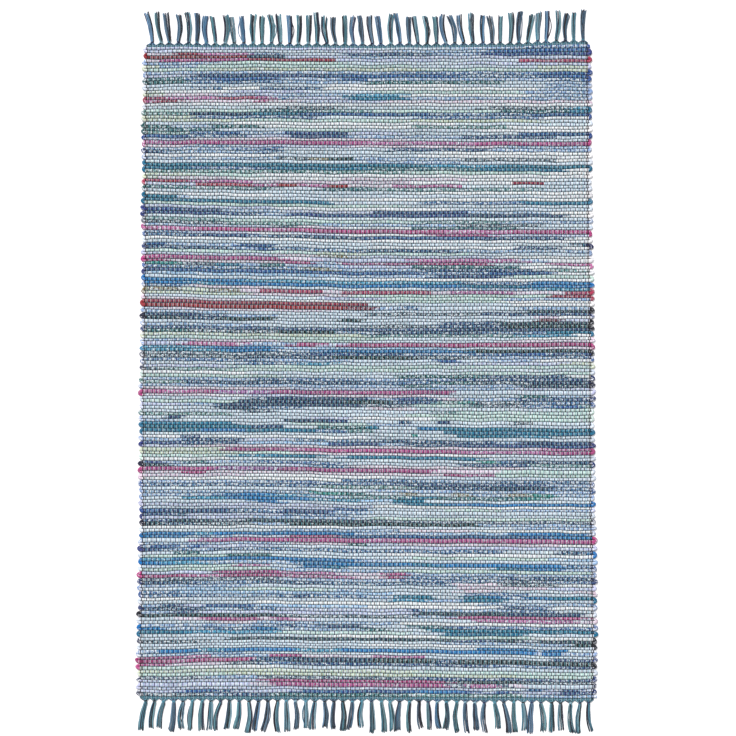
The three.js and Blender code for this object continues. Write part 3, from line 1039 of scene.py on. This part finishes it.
# The knot
KNOT_RING = 0.0030
KNOT_CORD = 0.0017
KNOT_MIDDLE = 0.0052  # from the header
KNOT_STEPS = 12
KNOT_TURNS = 1.12
KNOT_CLIMB = 0.0042  # from where the cord goes in to where it comes out
KNOT_HEIGHT = 0.0031
KNOT_FLATNESS = 0.63
KNOT_YARNS = {"teal": 0.4, "navy": 0.3, "black": 0.2, "sage": 0.1}
KNOT_TINT = (0.6, 0.75, 0.9, 1)
PLY_WIDTH = 0.0016  # across the knot's cord


def chance(number, use):
    """A share from 0 to 1, always the same for the same tassel and use."""
    value = np.sin(number * 12.9898 + use * 78.233) * 43758.5453
    return value - np.floor(value)


def sway(number, use):
    """The same from -1 to 1."""
    return 2 * chance(number, use) - 1


def turn_faces_over():
    """Turns the active object's faces outwards again, where laying it out has mirrored it."""
    bpy.ops.object.mode_set(mode="EDIT")
    bpy.ops.mesh.select_all(action="SELECT")
    bpy.ops.mesh.flip_normals()
    bpy.ops.object.mode_set(mode="OBJECT")


for (place_name, outwards, end_y), leans, longest in zip(RUG_ENDS, (UPPER_LEAN, LOWER_LEAN), LONGEST):
    # The strands, straight and side by side, one to each warp end.
    strand_step = STRAND_LENGTH / STRAND_SPANS
    strands = closed_tubes(
        sides=5,
        radius=STRAND_RADIUS,
        start=(end_x(0), 0, 0),
        step=(0, strand_step, 0),
        spans=STRAND_SPANS,
        count=WARP_ENDS,
        apart=(END_PITCH, 0, 0),
    )
    strands.name = place_name + "_strands"
    square = points_of(strands)
    strand = end_at(square[:, 0])
    station = np.round(square[:, 1] / strand_step).astype(int)
    aside = COMBED_OUT * (square[:, 0] - end_x(strand))
    above = COMBED_OUT * square[:, 2]

    # How each tassel lies.
    dice = np.random.default_rng(70 + outwards)
    tassel = np.repeat(np.arange(TASSELS), ENDS_PER_TASSEL)
    number = tassel if outwards > 0 else tassel + TASSELS
    table = np.array(leans)
    lean = np.interp((tassel + 0.5) / TASSELS, table[:, 0], table[:, 1])
    lean = np.radians(lean + LEAN_SWAY * sway(number, 3))
    bow = -outwards * BOW * sway(number, 4)
    tassel_x = -WARP_HALF + (tassel + 0.5) * TASSEL_PITCH + ROOT_SWAY * sway(number, 6)
    openness = LEAST_OPEN + OPEN_SPREAD * chance(number, 7)

    # Which of its three locks each strand goes in. Strands of one colour mostly keep together.
    colour_seat = dice.uniform(0, 1, (TASSELS, len(YARNS)))
    ends_of_repeat = [REPEAT[k % REPEAT_ENDS][0] for k in range(ENDS_PER_TASSEL)]
    colour_number = [list(YARNS).index(name) for name in ends_of_repeat]
    liking = colour_seat[:, colour_number]
    liking = liking + dice.uniform(0, SORTED_LOOSELY, (TASSELS, ENDS_PER_TASSEL))
    seat = np.argsort(np.argsort(liking, axis=1), axis=1).ravel()
    lock = seat // 4
    left_right = np.where(seat % 2 == 0, -1, 1)
    on_top = (seat // 2) % 2 == 1

    # How long each strand is, and how it strays from its lock.
    reach = longest - TASSEL_SHORTER * chance(number, 5) - LOCK_SHORTER * chance(number * 3 + lock, 8)
    reach = reach - LOCK_ROOT - STRAND_SHORTER * dice.uniform(0, 1, WARP_ENDS) ** 2
    strays = dice.uniform(0, 1, WARP_ENDS) < STRAY_SHARE
    stray = np.where(strays, dice.uniform(-STRAY_REACH, STRAY_REACH, WARP_ENDS), 0)
    drift = dice.uniform(-STRAND_DRIFT, STRAND_DRIFT, WARP_ENDS)
    wander = dice.uniform(-STRAND_WANDER, STRAND_WANDER, (3, WARP_ENDS))

    # Where it runs: out of the header, together into the knot, and on to the tip.
    paths = np.zeros((WARP_ENDS, STRAND_SPANS + 1, 3))
    fan = end_x(np.arange(WARP_ENDS)) - tassel_x
    for k, (gather_y, kept, (below, atop)) in enumerate(GATHER):
        paths[:, k, 0] = tassel_x + kept * fan
        paths[:, k, 1] = gather_y
        paths[:, k, 2] = np.where(on_top, atop, below)
    tied_z = np.where(on_top, TIED_HEIGHTS[1], TIED_HEIGHTS[0])
    knot_station = len(GATHER)
    paths[:, knot_station, 0] = tassel_x + (lock - 1) * TIED_APART + left_right * TIED_PAIR
    paths[:, knot_station, 1] = KNOT_MIDDLE
    paths[:, knot_station, 2] = tied_z + KNOT_LIFT

    # Past the knot a strand is down within a fifth of its length, and loose within a quarter.
    apart = np.array(LOCK_APART)
    piled = COMBED_HEIGHTS[1] - COMBED_HEIGHTS[0]
    for k in range(knot_station + 1, STRAND_SPANS + 1):
        share = (k - knot_station - 1) / (STRAND_SPANS - knot_station - 1)
        still_up = max(0.0, 1 - 5 * share)
        loose = min(1.0, 4 * share)
        along = share * reach
        off = (lock - 1) * np.interp(share, apart[:, 0], apart[:, 1]) * openness
        off = off + left_right * (PAIR_APART + PAIR_OPENS * loose) + drift * share
        off = off + loose * (wander[0] * math.sin(5 * share) + wander[1] * math.sin(9 * share + 1))
        off = off + bow * math.sin(math.pi * share)
        off = off + stray * math.sin(math.pi * min(1, 1.2 * share))
        height = COMBED_HEIGHTS[0] + np.where(on_top, piled * (1 - SETTLED * share), 0)
        paths[:, k, 0] = tassel_x + off * np.cos(lean) + along * np.sin(lean)
        paths[:, k, 1] = LOCK_ROOT + along * np.cos(lean) - off * np.sin(lean)
        paths[:, k, 2] = height + (tied_z - height) * still_up

    # The tubes are bent along those paths, from where the weave has its end.
    heading = np.gradient(paths[:, :, :2], axis=1)
    heading = heading / np.linalg.norm(heading, axis=2, keepdims=True)
    spot = paths[strand, station]
    facing = heading[strand, station]
    root_x, root_y = weave_lie(tassel_x, np.full(WARP_ENDS, end_y))
    shift_x = root_x - tassel_x
    shift_y = root_y - end_y
    out = spot[:, 1] - aside * facing[:, 0]
    laid_x = spot[:, 0] + aside * facing[:, 1] + shift_x[strand]
    laid_y = end_y + outwards * (ROOT + out) + shift_y[strand]
    set_points(strands, laid_x, laid_y, spot[:, 2] + above)
    if outwards < 0:
        turn_faces_over()
    end_dyes = np.array([yarn_dye(name) for name in ends_of_repeat])
    fade = dice.uniform(DARKEST_STRAND, PALEST_STRAND, (WARP_ENDS, 1))
    tint = np.repeat(dice.choice(TASSEL_TINTS, TASSELS), ENDS_PER_TASSEL, axis=0)
    faded = np.column_stack([(fade * tint)[strand], np.ones(len(strand))])
    colours = end_dyes[strand % ENDS_PER_TASSEL] * faded
    dye_yarn(strands, aside / (2 * STRAND_RADIUS) + 0.5, out + strand * STRAND_TWIST_SHIFT, colours)
    lay_flat(strands)
    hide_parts("fringe_" + place_name)

    # The knots: the bundle goes once round itself, drawn down flat against the header.
    first_centre = -WARP_HALF + TASSEL_PITCH / 2
    bpy.ops.object.select_all(action="DESELECT")
    bpy.ops.mesh.primitive_circle_add(
        vertices=6, radius=KNOT_CORD, location=(first_centre + KNOT_RING, 0, 0)
    )
    bpy.ops.object.transform_apply(location=True, rotation=True, scale=True)
    knots = bpy.context.object
    knots.name = place_name + "_knots"
    bpy.ops.object.mode_set(mode="EDIT")
    bpy.ops.mesh.select_all(action="SELECT")
    bpy.ops.mesh.spin(
        steps=KNOT_STEPS, angle=2 * math.pi * KNOT_TURNS, center=(first_centre, 0, 0), axis=(0, 1, 0)
    )
    close_ends()
    array_of(TASSELS, (TASSEL_PITCH, 0, 0))
    square = points_of(knots)
    knot = np.floor((square[:, 0] + WARP_HALF) / TASSEL_PITCH)
    knot = np.clip(knot, 0, TASSELS - 1).astype(int)
    first_end = knot * ENDS_PER_TASSEL
    aside = square[:, 0] - (-WARP_HALF + (knot + 0.5) * TASSEL_PITCH)
    ring = np.arange(len(square)) % (6 * (KNOT_STEPS + 1)) // 6
    out = KNOT_MIDDLE + square[:, 1] + KNOT_CLIMB * (ring / KNOT_STEPS - 0.5)
    laid_x = root_x[first_end] + aside
    laid_y = end_y + outwards * (ROOT + out) + shift_y[first_end]
    set_points(knots, laid_x, laid_y, KNOT_HEIGHT + square[:, 2] * KNOT_FLATNESS)
    if outwards < 0:
        turn_faces_over()
    knot_names = dice.choice(list(KNOT_YARNS), TASSELS, p=list(KNOT_YARNS.values()))
    colours = np.array([yarn_dye(name) for name in knot_names])[knot] * KNOT_TINT
    round_ring = np.arctan2(square[:, 2], aside) * KNOT_RING
    dye_yarn(knots, square[:, 1] / PLY_WIDTH, round_ring, colours)
    lay_flat(knots)


# The floor
# A plain pale surface, a hair lower than the rug, so that no face of the one lies in the other's.
FLOOR_SIZE = 90
FLOOR_TOP = -0.0004
PALE_GREY = (0.93, 0.93, 0.93, 1)

bpy.ops.object.select_all(action="DESELECT")
bpy.ops.mesh.primitive_plane_add(size=FLOOR_SIZE, location=(0, 0, FLOOR_TOP))
floor = bpy.context.object
floor.name = "floor"
floor_paint, shader = cloth_finish("floor_paint", roughness=0.9, sheen=0.0)
shader.inputs["Base Color"].default_value = PALE_GREY
floor.data.materials.append(floor_paint)

# Soft studio light and the camera
# An even pale surround, a broad sun from the upper left, and a camera almost straight above.
SUN_TURN = (math.radians(-32), math.radians(-22), 0)
VIEW_DISTANCE = 5.0
VIEW_TILT = math.radians(4.65)
FOCAL_LENGTH = 1861.5  # in the picture's pixels, as is the next
HALF_PICTURE = 368
AIM = (0.0027, -0.0027, 0)

bpy.context.scene.view_settings.view_transform = "Standard"
world = bpy.data.worlds.new("studio")
bpy.context.scene.world = world
world.use_nodes = True
surround = world.node_tree.nodes["Background"]
surround.inputs["Color"].default_value = (0.97, 0.98, 1, 1)
surround.inputs["Strength"].default_value = 0.6
bpy.ops.object.light_add(type="SUN", rotation=SUN_TURN)
soft_sun = bpy.context.object
soft_sun.data.energy = 3.6
soft_sun.data.color = (1, 0.965, 0.99)
soft_sun.data.angle = math.radians(30)

bpy.ops.object.camera_add(
    location=(
        AIM[0],
        AIM[1] - VIEW_DISTANCE * math.sin(VIEW_TILT),
        VIEW_DISTANCE * math.cos(VIEW_TILT),
    ),
    rotation=(VIEW_TILT, 0, 0),
)
camera = bpy.context.object
camera.data.angle = 2 * math.atan(HALF_PICTURE / FOCAL_LENGTH)
bpy.context.scene.camera = camera
